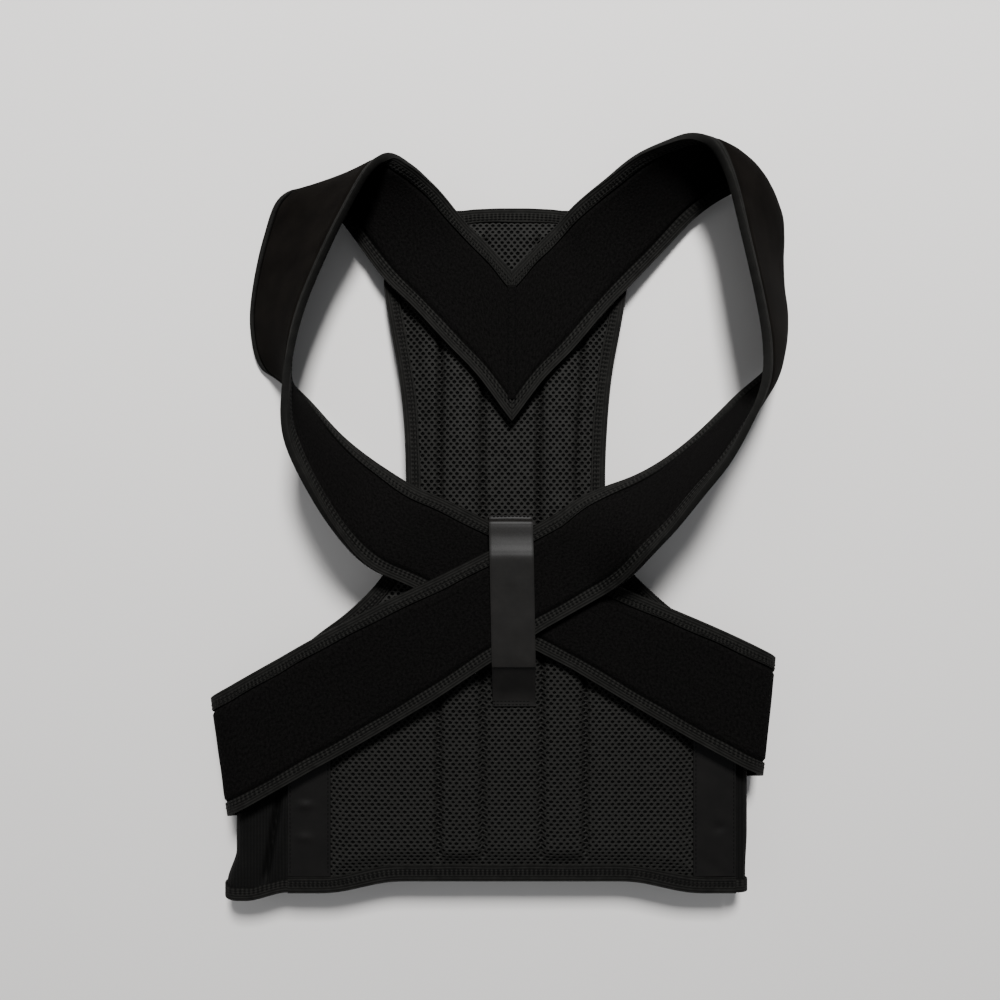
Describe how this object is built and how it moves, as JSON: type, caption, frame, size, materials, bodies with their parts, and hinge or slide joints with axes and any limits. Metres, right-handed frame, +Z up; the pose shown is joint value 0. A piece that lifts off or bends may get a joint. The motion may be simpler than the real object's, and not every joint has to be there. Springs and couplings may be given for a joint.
{
  "type": "posture corrector",
  "caption": "Full back posture corrector: quilted mesh back panel with elastic belt wings, and plush shoulder straps that cross on the back and end on the belt",
  "frame": {"origin": "bottom centre of the bounding box of the brace as it lies", "axes": "+X to the wearer's right, +Y to the neck end along the longest extent, +Z up from the floor, out of the outer face of the back panel, the shortest extent"},
  "size_m": [0.3488, 0.4444, 0.0648],
  "materials": {
    "air_mesh": "black polyester air mesh over a foam core, quilted",
    "plush": "black brushed loop fabric over thin foam, plain knit on the body side",
    "woven_binding": "black ribbed woven binding tape, sewn down with two rows of stitches",
    "satin": "black satin ribbon with a soft sheen",
    "elastic": "black ribbed woven elastic",
    "hook": "black nylon hook tape"
  },
  "bodies": {
    "root": {"back_panel": "air_mesh", "panel_binding": "woven_binding", "hem_binding": "woven_binding", "shoulder_strap_left": "plush", "left_strap_binding_inner": "woven_binding", "left_strap_binding_outer": "woven_binding", "shoulder_strap_right": "plush", "right_strap_binding_inner": "woven_binding", "right_strap_binding_outer": "woven_binding", "side_tape_left": "satin", "side_tape_right": "satin", "cross_keeper": "satin", "belt_wing_left": "elastic", "wing_hem_left": "woven_binding", "belt_wing_right": "elastic", "wing_hem_right": "woven_binding", "hook_tab": "hook"}
  },
  "joints": []
}
